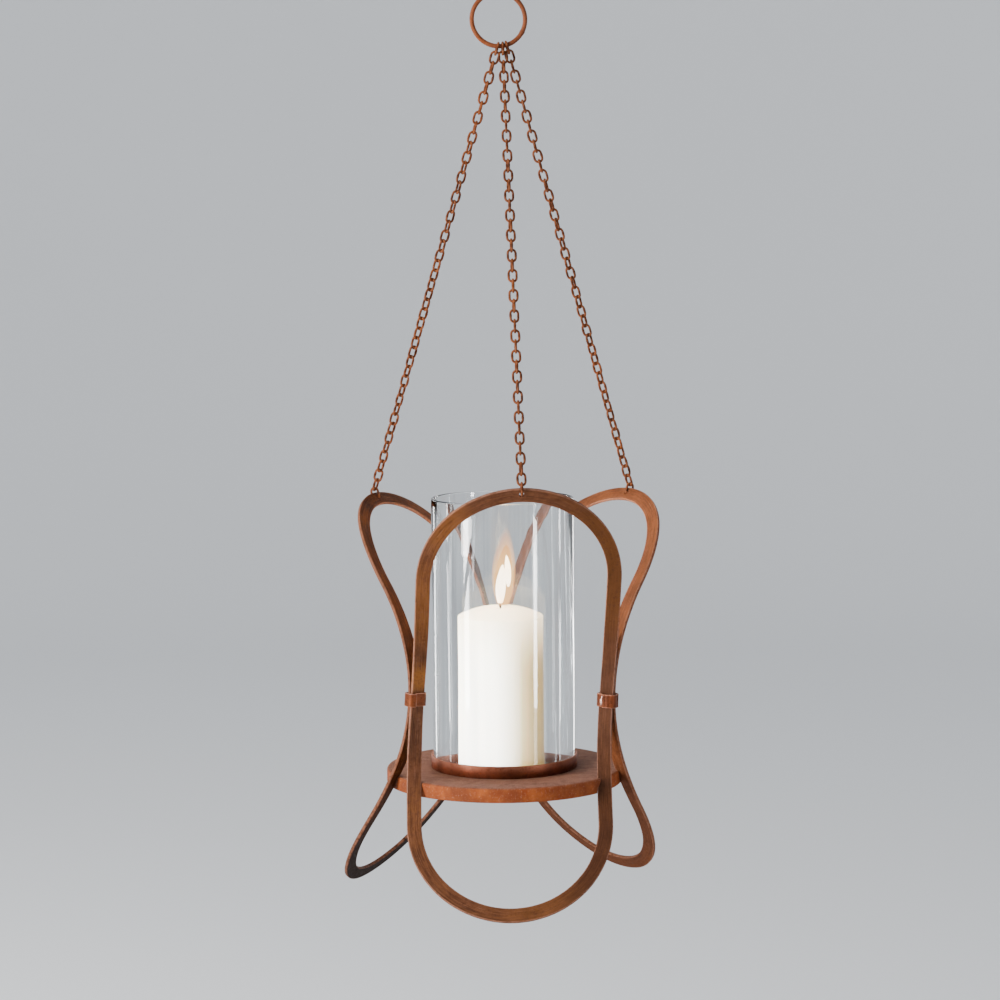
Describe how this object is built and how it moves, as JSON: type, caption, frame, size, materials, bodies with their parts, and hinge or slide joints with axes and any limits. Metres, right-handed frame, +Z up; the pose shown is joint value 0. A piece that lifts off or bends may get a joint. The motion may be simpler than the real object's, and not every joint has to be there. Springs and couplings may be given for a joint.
{
  "type": "hanging candle lantern",
  "caption": "Hanging lantern of bent rusted flat-bar loops strapped at the waist, with a dished tray, a glass chimney round a pillar candle, and converging chains on a ring.",
  "frame": {"origin": "the hook seat: the lowest point of the hanging ring's inner top, where a hook bears", "axes": "+Z up along the hang; -Y towards the front loop, the side the front chain drops to; +X to the front's right"},
  "size_m": [0.2864, 0.266, 0.8011],
  "materials": {
    "ring_steel": "round wire, thin orange-brown rust over worn steel",
    "chain_steel": "orange-brown rusted wire with pale worn high spots",
    "bar_steel": "reddish-brown rusted mild-steel flat bar, dull, with rubbed bright edges",
    "collar_steel": "copper-red heat-tinted steel, satin",
    "tray_steel": "brown rusted sheet, dull, with an orange rim",
    "holder_steel": "copper-red to dark brown band, satin",
    "weld_steel": "dark weld bead",
    "chimney_glass": "clear, polished",
    "candle_wax": "ivory wax, soft satin, translucent",
    "wick_cotton": "charred cotton"
  },
  "bodies": {
    "ring": {"hanging_ring": "ring_steel"},
    "top_links": {"chain_front_top_link": "chain_steel", "chain_left_top_link": "chain_steel", "chain_right_top_link": "chain_steel"},
    "frame": {"loop_front": "bar_steel", "loop_left": "bar_steel", "loop_right": "bar_steel", "collar_front_left": "collar_steel", "collar_front_right": "collar_steel", "collar_back": "collar_steel", "tray": "tray_steel", "tray_weld_front_left": "weld_steel", "tray_weld_front_right": "weld_steel", "tray_weld_left_left": "weld_steel", "tray_weld_left_right": "weld_steel", "tray_weld_right_left": "weld_steel", "tray_weld_right_right": "weld_steel", "glass_holder": "holder_steel"},
    "glass": {"glass_chimney": "chimney_glass"},
    "candle": {"candle": "candle_wax", "wick": "wick_cotton"},
    "chain_front": {"chain_front_upper_run": "chain_steel", "chain_front_middle_run": "chain_steel", "chain_front_lower_run": "chain_steel", "chain_front_end_link": "chain_steel"},
    "chain_left": {"chain_left_upper_run": "chain_steel", "chain_left_middle_run": "chain_steel", "chain_left_lower_run": "chain_steel", "chain_left_end_link": "chain_steel"},
    "chain_right": {"chain_right_upper_run": "chain_steel", "chain_right_middle_run": "chain_steel", "chain_right_lower_run": "chain_steel", "chain_right_end_link": "chain_steel"}
  },
  "joints": [
    {"name": "sway", "type": "hinge", "parent": "ring", "child": "top_links", "pos_m": [0, 0, -0.0215], "axis": [0, 1, 0], "range_deg": [-25, 25]},
    {"name": "swing", "type": "hinge", "parent": "top_links", "child": "frame", "pos_m": [0, -0.0002, -0.049], "axis": [1, 0, 0], "range_deg": [-30, 30]},
    {"name": "chain_front_swing", "type": "hinge", "parent": "top_links", "child": "chain_front", "pos_m": [0, -0.0002, -0.049], "axis": [1, 0, 0], "range_deg": [-30, 30]},
    {"name": "chain_left_swing", "type": "hinge", "parent": "top_links", "child": "chain_left", "pos_m": [0, -0.0002, -0.049], "axis": [1, 0, 0], "range_deg": [-30, 30]},
    {"name": "chain_right_swing", "type": "hinge", "parent": "top_links", "child": "chain_right", "pos_m": [0, -0.0002, -0.049], "axis": [1, 0, 0], "range_deg": [-30, 30]},
    {"name": "glass_lift", "type": "slide", "parent": "frame", "child": "glass", "axis": [0, 0, 1], "range_m": [0, 0.14]},
    {"name": "candle_lift", "type": "slide", "parent": "frame", "child": "candle", "axis": [0, 0, 1], "range_m": [0, 0.25]}
  ],
  "couplings": [
    {"joint": "chain_front_swing", "follows": "swing", "ratio": 1},
    {"joint": "chain_left_swing", "follows": "swing", "ratio": 1},
    {"joint": "chain_right_swing", "follows": "swing", "ratio": 1}
  ]
}
